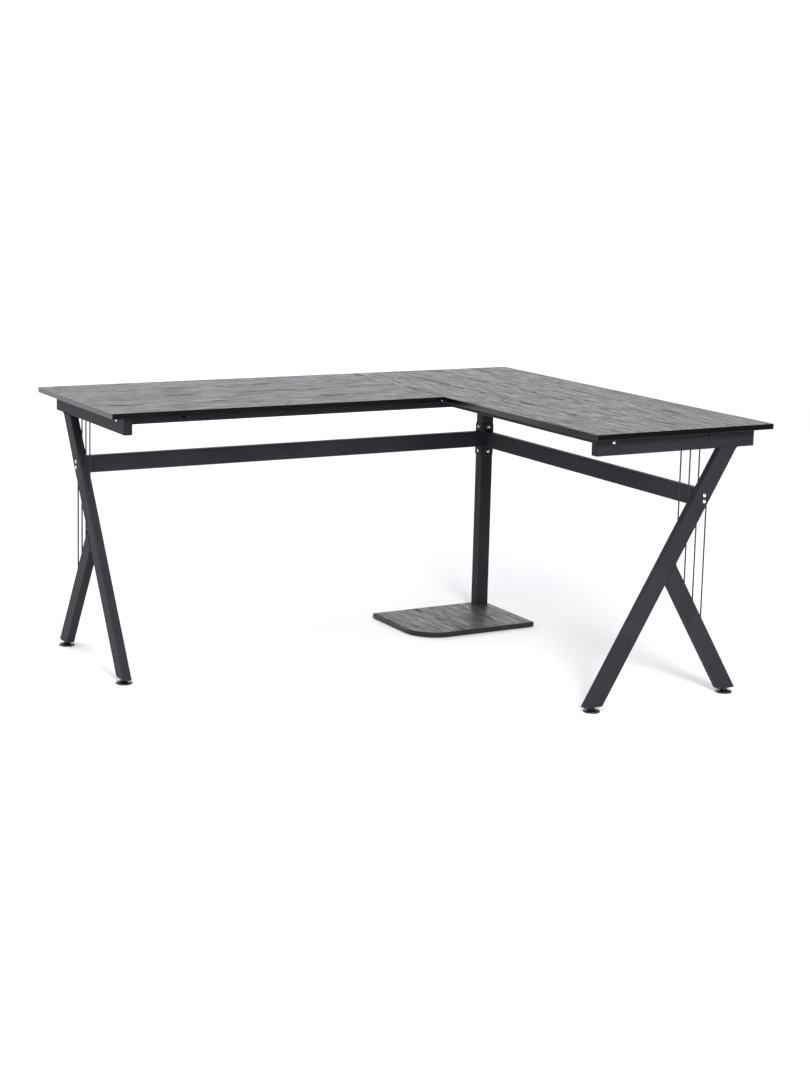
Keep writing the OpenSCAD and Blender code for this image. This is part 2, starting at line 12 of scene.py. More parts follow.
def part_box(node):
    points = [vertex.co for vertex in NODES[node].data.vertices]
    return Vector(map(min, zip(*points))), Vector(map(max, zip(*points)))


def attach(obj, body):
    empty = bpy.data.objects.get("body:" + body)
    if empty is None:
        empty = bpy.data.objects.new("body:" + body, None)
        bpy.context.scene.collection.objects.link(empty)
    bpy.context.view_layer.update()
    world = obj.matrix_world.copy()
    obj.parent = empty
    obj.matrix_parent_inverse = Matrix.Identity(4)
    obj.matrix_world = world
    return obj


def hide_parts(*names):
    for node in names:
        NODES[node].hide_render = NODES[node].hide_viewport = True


bl_info = {
    "name": "Corner desk",
    "version": (1, 0, 0),
    "blender": (4, 5, 0),
    "location": "3D View > Sidebar > Desk",
    "description": "Builds a corner desk's finishes and fine parts round its CAD frame",
    "category": "Object",
}

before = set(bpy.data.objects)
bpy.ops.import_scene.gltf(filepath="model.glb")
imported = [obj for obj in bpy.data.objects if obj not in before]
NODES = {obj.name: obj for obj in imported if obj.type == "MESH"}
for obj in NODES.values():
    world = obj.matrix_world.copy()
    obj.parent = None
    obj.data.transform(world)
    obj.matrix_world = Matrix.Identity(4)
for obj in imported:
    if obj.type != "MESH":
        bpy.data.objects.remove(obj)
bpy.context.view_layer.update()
MM = 0.001

FEET = ("left_front", "left_back", "right_front", "right_back")
SIDES = ("left", "right")
# The axis that each side frame runs along: y on the left and x on the right
RUN_AXIS = {"left": 1, "right": 0}
TUBES = (
    *(f"{side}_{part}" for side in SIDES for part in ("top_rail", "long_leg", "short_leg")),
    "long_front_rail",
    "return_front_rail",
    "long_stretcher",
    "return_stretcher",
    "corner_post",
)
PLATES = ("long_end_plate", "return_end_plate", "post_top_plate", "corner_bracket")
FASTENERS = (
    "front_rail_bolts",
    "leg_bolts",
    "post_bolts",
    "corner_bracket_bolts",
    "shelf_bolts",
    "seam_pin",
    "seam_screws",
    "left_rail_screws",
    "right_rail_screws",
    "front_rail_screws",
    "post_top_screws",
)
BLOCKS = (
    "left_leg_blocks",
    "right_leg_blocks",
    "front_rail_blocks",
    "stretcher_blocks",
    "post_nut_strips",
    "post_foot_block",
)
PLUGS = ("left_rail_plugs", "right_rail_plugs", "front_rail_plug")
# How close two vertices are to count as one point, and as lying in one plane
SAME_POINT = 0.001 * MM
FLUSH = 0.02 * MM
# Each board's foil, the turn of its grain, and where on the print the board is cut from
FOILS = {
    "long_top": ("ash_foil_along_the_wall", 0.0, (0.0, -0.012, 0.0)),
    "return_top": ("ash_foil_along_the_side", math.radians(90), (0.21, -0.004, 0.3)),
    "shelf": ("ash_foil_on_the_shelf", math.radians(90), (0.43, -0.011, 0.6)),
}


# ---------- colours and nodes ----------

SMOOTHSTEP = {"interpolation_type": "SMOOTHSTEP"}


def linear(code):
    """sRGB hex such as "2b2c30" to linear red, green and blue.

    Each channel c is c / 12.92 up to 0.04045, and ((c + 0.055) / 1.055) ^ 2.4 above it.
    """
    values = (int(code[i : i + 2], 16) / 255 for i in (0, 2, 4))
    return tuple(c / 12.92 if c <= 0.04045 else ((c + 0.055) / 1.055) ** 2.4 for c in values)


def colour(rgb, gain=1.0):
    """A colour property's value, gain times as bright, with a full alpha for a shader socket."""
    return (*(gain * c for c in rgb[:3]), 1.0)


def add(tree, kind, inputs=(), **settings):
    """Adds one shader node with its settings, and sets or links its inputs.

    The inputs are a dict by name or number, or a sequence that fills the first ones. Where an
    input is given a node, it takes that node's first output.
    """
    made = tree.nodes.new(f"ShaderNode{kind}")
    for key, value in settings.items():
        setattr(made, key, value)
    for key, value in inputs.items() if isinstance(inputs, dict) else enumerate(inputs):
        if isinstance(value, bpy.types.Node):
            value = value.outputs[0]
        if isinstance(value, bpy.types.NodeSocket):
            tree.links.new(value, made.inputs[key])
        else:
            made.inputs[key].default_value = value
    return made


def new_material(name, **constants):
    """A material with one Principled shader, whose constants are set on its own sockets.

    It comes with its shader and with add() for its own tree.
    """
    made = bpy.data.materials.new(name)
    made.use_nodes = True
    shader = made.node_tree.nodes["Principled BSDF"]
    for key, value in constants.items():
        shader.inputs[key.replace("_", " ")].default_value = value
    made.diffuse_color = shader.inputs["Base Color"].default_value[:]
    return made, shader, partial(add, made.node_tree)


def pattern_shader(shader, tint, relief, rough=None):
    """Links the patterns of colour, of relief and, where there is one, of roughness to a shader."""
    links = shader.id_data.links
    links.new(tint, shader.inputs["Base Color"])
    links.new(relief.outputs[0], shader.inputs["Normal"])
    if rough:
        links.new(rough.outputs[0], shader.inputs["Roughness"])


def streaks(node, vector, rates, detail=2.0, roughness=0.6):
    """Noise drawn out into streaks, with so many patterns a metre along each axis."""
    drawn = node("VectorMath", (vector, rates), operation="MULTIPLY")
    return node("TexNoise", {"Vector": drawn, "Scale": 1.0, "Detail": detail, "Roughness": roughness})


def mottled(node, pattern, low, high, rgb, gain):
    """A colour that becomes gain times as bright, smoothly, as the pattern goes from low to high."""
    share = node("MapRange", (pattern, low, high), **SMOOTHSTEP)
    return node("Mix", {0: share, 6: colour(rgb), 7: colour(rgb, gain)}, data_type="RGBA").outputs[2]


# ---------- materials ----------


def ash_foil(name, turn, shift, look):
    """Melamine-faced board with an embossed black-ash print, satin.

    The print repeats across the board every plank. In each plank the growth rings are nested
    parabolas, phase = along / ring_gap + sharpness * across^2, round a heart line of broken dark
    dashes. Strands of darker and paler wood are 13 mm and 3 mm wide, with dark strokes 5 mm wide, and
    the embossed pores, 0.3 mm wide on the real foil, are drawn 1.1 mm wide so that they show.
    """
    ring_gap, sharpness, ring_wobble = 160 * MM, 1900.0, 1.8
    wander_width, plank_step, fray_width = 14 * MM, 370 * MM, 16 * MM
    dashes_a_metre, heart_core, heart_edge = 9.0, 3 * MM, 6.5 * MM
    material, shader, node = new_material(
        name,
        Roughness=look.foil_roughness,
        IOR=1.5,
        Specular_IOR_Level=look.foil_gloss,
        Base_Color=colour(look.foil_mid),
    )
    place = node("TexCoord").outputs["Object"]
    flat = node("Mapping", {"Vector": place, "Location": shift, "Rotation": (0, 0, turn)})
    along, across, _ = node("SeparateXYZ", (flat,)).outputs
    # The grain wanders a few millimetres sideways over a third of a metre
    slow = streaks(node, flat, (3, 9, 1), roughness=0.5)
    wander = node("Math", (slow, wander_width, -wander_width / 2), operation="MULTIPLY_ADD")
    wandered = node("Math", (across, wander), operation="ADD")
    planks = node("Math", (wandered, look.plank), operation="DIVIDE")
    plank = node("Math", (planks,), operation="FLOOR")
    within = node("Math", (planks,), operation="FRACT")
    local = node("Math", (within, look.plank, -look.plank / 2), operation="MULTIPLY_ADD")
    stepped = node("Math", (plank, plank_step, along), operation="MULTIPLY_ADD")
    # Growth rings, thin and dark on one side and fading on the other
    square = node("Math", (local, local), operation="MULTIPLY")
    straight = node("Math", (stepped, ring_gap), operation="DIVIDE")
    bent = node("Math", (square, sharpness, straight), operation="MULTIPLY_ADD")
    wobble = streaks(node, flat, (6, 40, 1), 3.0)
    phase = node("Math", (wobble, ring_wobble, bent), operation="MULTIPLY_ADD")
    ring = node("MapRange", (node("Math", (phase,), operation="FRACT"), 0.72, 0.97), **SMOOTHSTEP)
    # Strands of wood, broad and fine, drifting with the same wander, and the pores between them
    layer = node("Math", (plank, 0.31), operation="MULTIPLY")
    drift = node("CombineXYZ", (along, wandered, layer))
    broad = streaks(node, drift, (8, 78, 1), 4.0, 0.7)
    fine = streaks(node, drift, (14, 330, 1), 4.0, 0.75)
    pores = node("MapRange", (streaks(node, drift, (34, 900, 1)), 0.55, 0.63), **SMOOTHSTEP)
    strokes = node("MapRange", (streaks(node, drift, (13, 190, 4)), 0.58, 0.66), **SMOOTHSTEP)
    # Heart dashes: 40 to 100 mm long, with gaps between them and edges frayed by the strands
    dash_place = node("Math", (stepped, dashes_a_metre), operation="MULTIPLY")
    seed = node("Math", (plank, 7.3), operation="MULTIPLY")
    line = node("CombineXYZ", (dash_place, seed))
    gaps = node("TexNoise", {"Vector": line, "Scale": 1.0, "Detail": 1.0})
    broken = node("MapRange", (gaps, 0.5, 0.6), **SMOOTHSTEP)
    fray = node("Math", (fine, 0.5), operation="SUBTRACT")
    beside = node("Math", (local,), operation="ABSOLUTE")
    frayed = node("Math", (fray, fray_width, beside), operation="MULTIPLY_ADD")
    nearby = node("MapRange", (frayed, heart_core, heart_edge, 1.0, 0.0), **SMOOTHSTEP)
    dash = node("Math", (broken, nearby), operation="MULTIPLY")
    # Paler wood where the strands are bright, then the dark marks over it, each with its own depth
    thin = node("Math", (fine, 0.45), operation="MULTIPLY")
    strands = node("Math", (broad, 0.55, thin), operation="MULTIPLY_ADD")
    light = node("MapRange", (strands, 0.4, 0.6), **SMOOTHSTEP)
    dark = node("Math", (ring, look.ring_depth), operation="MULTIPLY")
    for mark, depth in ((pores, 0.5), (strokes, 0.55), (dash, 1.2)):
        dark = node("Math", (mark, depth, dark), operation="MULTIPLY_ADD")
    dark = node("Math", (dark, 1.2), operation="MINIMUM")
    wood = {0: light, 6: colour(look.foil_mid), 7: colour(look.foil_light)}
    wood = node("Mix", wood, data_type="RGBA").outputs[2]
    tint = node("Mix", {0: dark, 6: wood, 7: colour(look.foil_dark)}, data_type="RGBA").outputs[2]
    # Dark lines are pressed in and rougher, so they mirror less
    level = node("Math", (dark, 0.25), operation="ADD")
    sunk = node("Math", (light, -0.5, level), operation="MULTIPLY_ADD")
    rough = node("Math", (sunk, look.foil_rough_swing, look.foil_roughness), operation="MULTIPLY_ADD")
    height = node("Math", (sunk, -1.0, 1.0), operation="MULTIPLY_ADD")
    relief = node("Bump", {"Height": height, "Distance": look.emboss, "Strength": 1.0})
    pattern_shader(shader, tint, relief, rough)
    return material


def edge_band(look):
    """ABS edge band, extruded and trimmed: satin black, with faint draw marks along its length.

    The draw marks are drawn 1.1 mm apart, coarser than the real ones so that they show, and the
    colour varies in 110 mm patches.
    """
    material, shader, node = new_material(
        "abs_edge_band",
        Roughness=0.16,
        IOR=1.5,
        Specular_IOR_Level=look.band_gloss,
        Base_Color=colour(look.band),
    )
    place = node("TexCoord").outputs["Object"]
    marks = streaks(node, place, (14, 14, 900), 3.0)
    patches = node("TexNoise", {"Vector": place, "Scale": 9.0, "Detail": 3.0})
    tint = mottled(node, patches, 0.35, 0.7, look.band, 1.3)
    rough = node("MapRange", (marks, 0.2, 0.8, 0.12, 0.22), **SMOOTHSTEP)
    relief = node("Bump", {"Height": marks, "Distance": 0.02 * MM, "Strength": 0.5})
    pattern_shader(shader, tint, relief, rough)
    return material


def powder_coat(look):
    """Polyester powder coat on steel tube, sprayed and baked: satin charcoal with a fine orange peel.

    Pale specks are 0.45 of the peel's ripples wide, and the film varies in 140 mm patches.
    """
    material, shader, node = new_material(
        "charcoal_powder_coat",
        Roughness=look.roughness,
        IOR=1.5,
        Specular_IOR_Level=look.gloss,
        Base_Color=colour(look.coat),
    )
    place = node("TexCoord").outputs["Object"]
    peel = node("TexNoise", {"Vector": place, "Scale": 1 / look.peel})
    dust = node("TexNoise", {"Vector": place, "Scale": 1 / (0.45 * look.peel), "Detail": 1.0})
    film = node("TexNoise", {"Vector": place, "Scale": 7.0, "Detail": 3.0})
    specks = node("MapRange", (dust, 0.6, 0.75, 0.0, 0.35), **SMOOTHSTEP)
    coat = mottled(node, film, 0.3, 0.7, look.coat, 1.28)
    tint = node("Mix", {0: specks, 6: coat, 7: colour(look.coat, 2.2)}, data_type="RGBA").outputs[2]
    swing = node("Math", (film, 0.5), operation="SUBTRACT")
    rough = node("Math", (swing, 0.1, look.roughness), operation="MULTIPLY_ADD")
    relief = node("Bump", {"Height": peel, "Distance": 0.06 * MM, "Strength": 0.7})
    pattern_shader(shader, tint, relief, rough)
    return material


def zinc_plate(look):
    """Bright zinc, electroplated on cold-headed steel: mirror-like, and duller in 4 mm patches.

    Faint dimples are 0.7 mm across.
    """
    material, shader, node = new_material(
        "bright_zinc_plate", Metallic=1.0, Roughness=0.2, Base_Color=colour(look.zinc)
    )
    place = node("TexCoord").outputs["Object"]
    patches = node("TexNoise", {"Vector": place, "Scale": 260.0, "Detail": 3.0})
    dimples = node("TexNoise", {"Vector": place, "Scale": 1400.0})
    tint = mottled(node, patches, 0.3, 0.7, look.zinc, 0.78)
    rough = node("MapRange", (patches, 0.2, 0.8, 0.16, 0.34), **SMOOTHSTEP)
    relief = node("Bump", {"Height": dimples, "Distance": 0.03 * MM, "Strength": 0.4})
    pattern_shader(shader, tint, relief, rough)
    return material


def mill_steel(look):
    """Cut bar steel, oiled and not painted: grey, with saw marks 0.6 mm apart."""
    material, shader, node = new_material(
        "cut_bar_steel", Metallic=1.0, Roughness=0.42, Base_Color=colour(look.bar_steel)
    )
    place = node("TexCoord").outputs["Object"]
    marks = streaks(node, place, (40, 40, 1600), roughness=0.5)
    shades = {0: marks, 6: colour(look.bar_steel, 0.6), 7: colour(look.bar_steel)}
    tint = node("Mix", shades, data_type="RGBA").outputs[2]
    relief = node("Bump", {"Height": marks, "Distance": 0.06 * MM, "Strength": 0.6})
    pattern_shader(shader, tint, relief)
    return material


def moulded_plastic(name, shade, roughness, gloss, grain_depth):
    """Injection-moulded polyethylene or polypropylene, black: even, with the mould's fine grain.

    A spark-eroded mould's grain is finer than 0.2 mm, and is drawn 0.6 mm wide so that it shows. The
    colour varies in 33 mm patches, as the melt flowed.
    """
    material, shader, node = new_material(
        name, Roughness=roughness, IOR=1.5, Specular_IOR_Level=gloss, Base_Color=colour(shade)
    )
    place = node("TexCoord").outputs["Object"]
    grain = node("TexNoise", {"Vector": place, "Scale": 1 / (0.6 * MM)})
    flow = node("TexNoise", {"Vector": place, "Scale": 30.0})
    tint = mottled(node, flow, 0.3, 0.7, shade, 1.5)
    rough = node("MapRange", (flow, 0.2, 0.8, roughness - 0.05, roughness + 0.08), **SMOOTHSTEP)
    relief = node("Bump", {"Height": grain, "Distance": grain_depth, "Strength": 0.5})
    pattern_shader(shader, tint, relief, rough)
    return material


def paint(material, *objects):
    """Gives each object that one material."""
    for target in objects:
        target.data.materials.clear()
        target.data.materials.append(material)


# ---------- surfaces ----------


def vertex_array(target):
    """A mesh's vertices as rows of x, y, z."""
    flat = np.empty(len(target.data.vertices) * 3, dtype=np.float32)
    target.data.vertices.foreach_get("co", flat)
    return flat.reshape(-1, 3).astype(float)


def grid_mesh(name, points, close_u=False, close_v=False, caps=False):
    """A mesh from points[u, v] = (x, y, z): quads between neighbours, joined round in u or v where closed.

    caps closes the first and the last ring of a surface that is closed in v.
    """
    rows, columns = points.shape[:2]
    index = np.arange(rows * columns).reshape(rows, columns)
    if close_u:
        index = np.vstack([index, index[:1]])
    if close_v:
        index = np.hstack([index, index[:, :1]])
    quads = np.stack([index[:-1, :-1], index[:-1, 1:], index[1:, 1:], index[1:, :-1]], axis=-1)
    faces = quads.reshape(-1, 4).tolist()
    if caps:
        faces += [index[0, :columns][::-1].tolist(), index[-1, :columns].tolist()]
    mesh = bpy.data.meshes.new(name)
    mesh.from_pydata(points.reshape(-1, 3).tolist(), [], faces)
    tidy = bmesh.new()
    tidy.from_mesh(mesh)
    bmesh.ops.remove_doubles(tidy, verts=tidy.verts, dist=0.1 * SAME_POINT)
    bmesh.ops.recalc_face_normals(tidy, faces=tidy.faces)
    tidy.to_mesh(mesh)
    tidy.free()
    mesh.update()
    made = bpy.data.objects.new(name, mesh)
    bpy.context.scene.collection.objects.link(made)
    return made


def flat_sheet(name, x0, x1, y0, y1, z):
    """A level rectangle for the stage."""
    across, along = np.meshgrid(np.array([x0, x1]), np.array([y0, y1]), indexing="ij")
    return grid_mesh(name, np.stack([across, along, np.full_like(across, z)], axis=-1))


def smooth(target, angle):
    """Smooth shading, kept sharp where faces meet at more than the angle, in degrees."""
    for polygon in target.data.polygons:
        polygon.use_smooth = True
    target.data.set_sharp_from_angle(angle=math.radians(angle))


def joined(name, parts):
    """One object from several: their meshes put together, with nothing moved."""
    whole = bmesh.new()
    for part in parts:
        whole.from_mesh(part.data)
    mesh = bpy.data.meshes.new(name)
    whole.to_mesh(mesh)
    whole.free()
    for part in parts:
        bpy.data.objects.remove(part)
    made = bpy.data.objects.new(name, mesh)
    bpy.context.scene.collection.objects.link(made)
    return made


def eased_copy(node, width, segments=3):
    """A copy of a CAD node with its doubled vertices merged and its sharp edges eased by a narrow round."""
    sharp = 50.0
    solid = bmesh.new()
    solid.from_mesh(NODES[node].data)
    bmesh.ops.remove_doubles(solid, verts=solid.verts, dist=SAME_POINT)
    bmesh.ops.dissolve_limit(solid, angle_limit=math.radians(0.5), verts=solid.verts, edges=solid.edges)
    mesh = bpy.data.meshes.new(f"{node}_eased")
    solid.to_mesh(mesh)
    solid.free()
    made = bpy.data.objects.new(f"{node}_eased", mesh)
    bpy.context.scene.collection.objects.link(made)
    smooth(made, sharp)
    easing = made.modifiers.new("eased_edges", "BEVEL")
    easing.width = width
    easing.segments = segments
    easing.limit_method = "ANGLE"
    easing.angle_limit = math.radians(sharp)
    easing.harden_normals = True
    easing.use_clamp_overlap = True
    return made


def eased_band(node, board, width):
    """A copy of an edge band whose outer edges are rounded, while those against the board stay sharp.

    A vertex is outer where no vertex of the board lies within half a millimetre of it.
    """
    made = eased_copy(node, width, segments=4)
    steps = vertex_array(made)[:, None] - vertex_array(NODES[board])
    outer = np.linalg.norm(steps, axis=2).min(axis=1) > 0.5 * MM
    edges = np.empty(len(made.data.edges) * 2, dtype=np.int32)
    made.data.edges.foreach_get("vertices", edges)
    weights = outer[edges.reshape(-1, 2)].all(axis=1).astype(np.float32)
    made.data.attributes.new("bevel_weight_edge", "FLOAT", "EDGE").data.foreach_set("value", weights)
    made.modifiers["eased_edges"].limit_method = "WEIGHT"
    return made


def filleted(corners, radii, steps=6):
    """A profile whose corners are rounded.

    Each fillet is the quadratic curve from one radius before the corner to one radius after it.
    """
    points = [corners[0]]
    share = np.linspace(0.0, 1.0, steps)[:, None]
    for before, corner, after, radius in zip(corners, corners[1:], corners[2:], radii):
        before, corner, after = (np.array(p, dtype=float) for p in (before, corner, after))
        start = corner + (before - corner) * radius / np.linalg.norm(before - corner)
        end = corner + (after - corner) * radius / np.linalg.norm(after - corner)
        points.extend((1 - share) ** 2 * start + 2 * share * (1 - share) * corner + share**2 * end)
    points.append(corners[-1])
    return np.array(points, dtype=float)


def turned(name, profile, centre, segments=96):
    """A surface of revolution: each radius and height of the profile, swept round an upright line."""
    angle = np.linspace(0.0, 2 * math.pi, segments, endpoint=False)
    radius, height = profile[:, :1] * MM, profile[:, 1:] * MM
    points = np.stack(
        [
            centre[0] + radius * np.cos(angle),
            centre[1] + radius * np.sin(angle),
            np.broadcast_to(height, (len(profile), segments)),
        ],
        axis=-1,
    )
    return grid_mesh(name, points, close_v=True)


def foot_centre(foot):
    """The x and y of a foot's upright axis."""
    low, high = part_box(f"{foot}_pad")
    return [(low[axis] + high[axis]) / 2 for axis in range(2)]


def turned_pad(foot):
    """A foot pad: a round sole with a groove and a soft rim, a cone, and a neck round the stem's socket.

    Its half section, with rounded corners, is turned about the foot's axis.
    """
    low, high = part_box(f"{foot}_pad")
    rim, top = (high[0] - low[0]) / 2 / MM, high[2] / MM
    neck, mouth, socket, socket_floor = 9.0, 4.6, 4.1, 4.0
    # Radius and height in millimetres: sole with its groove, rim, cone, neck, then down the socket
    corners = [
        (0.0, 0.0),
        *((rim - 5.0, 0.0), (rim - 4.0, 0.35), (rim - 3.0, 0.0)),
        *((rim, 0.0), (rim, 3.6), (rim - 2.4, 4.9)),
        *((neck + 3.0, 6.7), (neck, top - 2.0), (neck, top)),
        *((mouth, top), (socket, socket_floor)),
        (0.0, socket_floor),
    ]
    radii = (0.3, 0.3, 0.3, 1.3, 1.1, 1.2, 3.0, 1.2, 0.7, 0.4, 0.2)
    pad = turned(f"{foot}_moulded_pad", filleted(corners, radii), foot_centre(foot))
    smooth(pad, 50.0)
    return pad


def threaded_stem(foot, pitch):
    """A stem with a rolled thread, a hexagon collar and a plain end.

    The thread's radius is r - depth * |2 * fract(height / pitch - angle / turn) - 1|, a right-hand
    vee. The collar's radius is across-flats / cos(angle from the flat), cut by a cone at both ends.
    """
    low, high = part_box(f"{foot}_stem")
    centre = foot_centre(foot)
    sides, steps_a_pitch = 48, 8
    stem, depth, chamfer = 4.0 * MM, 0.6134 * pitch, 0.8 * MM
    collar_low, collar_high, flats = 11.2 * MM, 13.8 * MM, 6.5 * MM
    angle = np.linspace(0.0, 2 * math.pi, sides, endpoint=False)
    # The thread runs in at the collar and runs out over the chamfered tip
    height = np.arange(collar_high, high[2] - chamfer / 2, pitch / steps_a_pitch)
    vee = np.abs(2 * np.mod(height[:, None] / pitch - angle / (2 * math.pi), 1.0) - 1)
    run_in = np.clip((height - collar_high - pitch) / pitch, 0.0, 1.0)[:, None]
    tip = np.clip((high[2] - height) / chamfer, 0.0, 1.0)[:, None]
    thread = np.minimum(stem - depth * vee * run_in, stem - depth * (1 - tip))
    # The collar's corners are cut back from 7.5 mm to 6.75 mm at its two faces
    share = np.array([0.0, 0.12, 0.25, 0.75, 0.88, 1.0])
    cone = np.array([6.75, 7.1, 7.5, 7.5, 7.1, 6.75])[:, None] * MM
    hexagon = flats / np.cos(np.mod(angle, math.pi / 3) - math.pi / 6)
    plain_end = np.tile(np.array([[0.9 * stem], [stem], [stem]]), sides)
    shoulder, point = np.full((1, sides), stem), np.full((1, sides), stem - depth)
    reach = np.vstack([plain_end, np.minimum(hexagon, cone), shoulder, thread, point])
    level = np.concatenate(
        [
            [low[2], low[2] + chamfer / 2, collar_low],
            collar_low + share * (collar_high - collar_low),
            [collar_high + 0.01 * MM],
            height,
            [high[2]],
        ]
    )
    points = np.stack(
        [
            centre[0] + reach * np.cos(angle),
            centre[1] + reach * np.sin(angle),
            np.broadcast_to(level[:, None], reach.shape),
        ],
        axis=-1,
    )
    made = grid_mesh(f"{foot}_threaded_stem", points, close_v=True, caps=True)
    smooth(made, 35.0)
    return made


def bead_along(name, path, radius, ripple=2.2 * MM):
    """A weld bead: a tube round a closed path, its radius swelling by an eighth every ripple.

    The path is walked in steps of about half a millimetre. At each step the section is a circle in
    the plane of the path's outward side and the normal of the face that the path lies in.
    """
    step, fewest, around, swelling = 0.55 * MM, 24, 10, 0.125
    path = np.asarray(path, dtype=float)
    ends = np.roll(path, -1, axis=0)
    lengths = np.linalg.norm(ends - path, axis=1)
    walked = np.concatenate([[0.0], np.cumsum(lengths)])
    count = max(int(walked[-1] / step), fewest)
    at = np.linspace(0.0, walked[-1], count, endpoint=False)
    closed = np.vstack([path, path[:1]])
    points = np.stack([np.interp(at, walked, closed[:, axis]) for axis in range(3)], axis=1)
    along = np.roll(points, -1, axis=0) - np.roll(points, 1, axis=0)
    along /= np.linalg.norm(along, axis=1)[:, None]
    middle = points.mean(axis=0)
    face = np.cross(points - middle, along).mean(axis=0)
    face /= np.linalg.norm(face)
    side = np.cross(along, face)
    turn = np.linspace(0.0, 2 * math.pi, around, endpoint=False)
    ripples = np.round(walked[-1] / ripple)
    swell = radius * (1 + swelling * np.cos(2 * math.pi * ripples * at / walked[-1]))
    spoke = np.cos(turn)[None, :, None] * side[:, None] + np.sin(turn)[None, :, None] * face
    ring = points[:, None] + swell[:, None, None] * spoke
    made = grid_mesh(name, ring, close_u=True, close_v=True)
    smooth(made, 60.0)
    return made


def cut_outline(node, axis=2, high=True):
    """The outline of a tube's end: the hull of its vertices on the outermost plane along the axis."""
    points = vertex_array(NODES[node])
    edge = points[:, axis].max() if high else points[:, axis].min()
    return hull(points[np.abs(points[:, axis] - edge) < FLUSH], axis)


def hull(points, axis):
    """The convex outline of points in a plane square to the axis.

    It walks the lower and then the upper chain, and drops a point where the walk doesn't turn left.
    """
    straight = 1e-12
    others = [i for i in range(3) if i != axis]
    order = points[np.lexsort((points[:, others[1]], points[:, others[0]]))]

    def chain(rows):
        kept = []
        for row in rows:
            while len(kept) > 1:
                a, b = kept[-1][others] - kept[-2][others], row[others] - kept[-1][others]
                if a[0] * b[1] - a[1] * b[0] > straight:
                    break
                kept.pop()
            kept.append(row)
        return kept[:-1]

    return np.array(chain(order) + chain(order[::-1]))


def frame_welds(side, bead):
    """The beads where a side frame's long leg and rods meet the rail, and its short leg the long one."""
    rod_gap, rod_ripple, cut_gap = 5 * MM, 1.4 * MM, 0.05 * MM
    parts = [bead_along(f"{side}_leg_bead", cut_outline(f"{side}_long_leg"), bead)]
    rods = vertex_array(NODES[f"{side}_rods"])
    top = rods[np.abs(rods[:, 2] - rods[:, 2].max()) < FLUSH]
    across = RUN_AXIS[side]
    steps = np.sort(top[:, across])
    groups = np.split(steps, np.where(np.diff(steps) > rod_gap)[0] + 1)
    for number, group in enumerate(groups):
        near = top[(top[:, across] >= group[0]) & (top[:, across] <= group[-1])]
        parts.append(bead_along(f"{side}_rod_bead_{number}", hull(near, 2), 0.6 * bead, rod_ripple))
    # The short leg's cut lies in the long leg's face, so its outline is found square to that face
    leg = vertex_array(NODES[f"{side}_short_leg"])
    lean = leg_lean(side)
    reach = leg @ lean
    face = leg[np.abs(reach - reach[np.argmax(leg[:, 2])]) < cut_gap]
    uphill = np.cross(lean, np.eye(3)[1 - across])
    flat = np.stack([face[:, 1 - across], face @ uphill, np.zeros(len(face))], axis=1)
    picked = np.linalg.norm(hull(flat, 2)[:, None] - flat, axis=2).argmin(axis=1)
    parts.append(bead_along(f"{side}_short_leg_bead", face[picked], bead))
    return joined(f"{side}_frame_welds", parts)


def leg_lean(side):
    """The direction square to the long leg's sloping face, within the side frame's plane."""
    points = vertex_array(NODES[f"{side}_long_leg"])
    across = RUN_AXIS[side]
    top = points[np.abs(points[:, 2] - points[:, 2].max()) < FLUSH]
    foot = points[np.abs(points[:, 2] - points[:, 2].min()) < FLUSH]
    run = np.zeros(3)
    run[across] = top[:, across].max() - foot[:, across].max()
    run[2] = points[:, 2].max() - points[:, 2].min()
    run /= np.linalg.norm(run)
    return np.cross(run, np.eye(3)[1 - across])


def stretcher_weld(name, plane, bead):
    """The bead round a stretcher's end where it meets its end plate."""
    node = f"{name}_stretcher"
    return bead_along(f"{node}_weld", cut_outline(node, axis=plane, high=plane == 0), bead)


def stand_for(piece, node, body):
    """The piece rides on a body and shows in place of a CAD node."""
    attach(piece, body)
    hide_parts(node)


# ---------- settings ----------


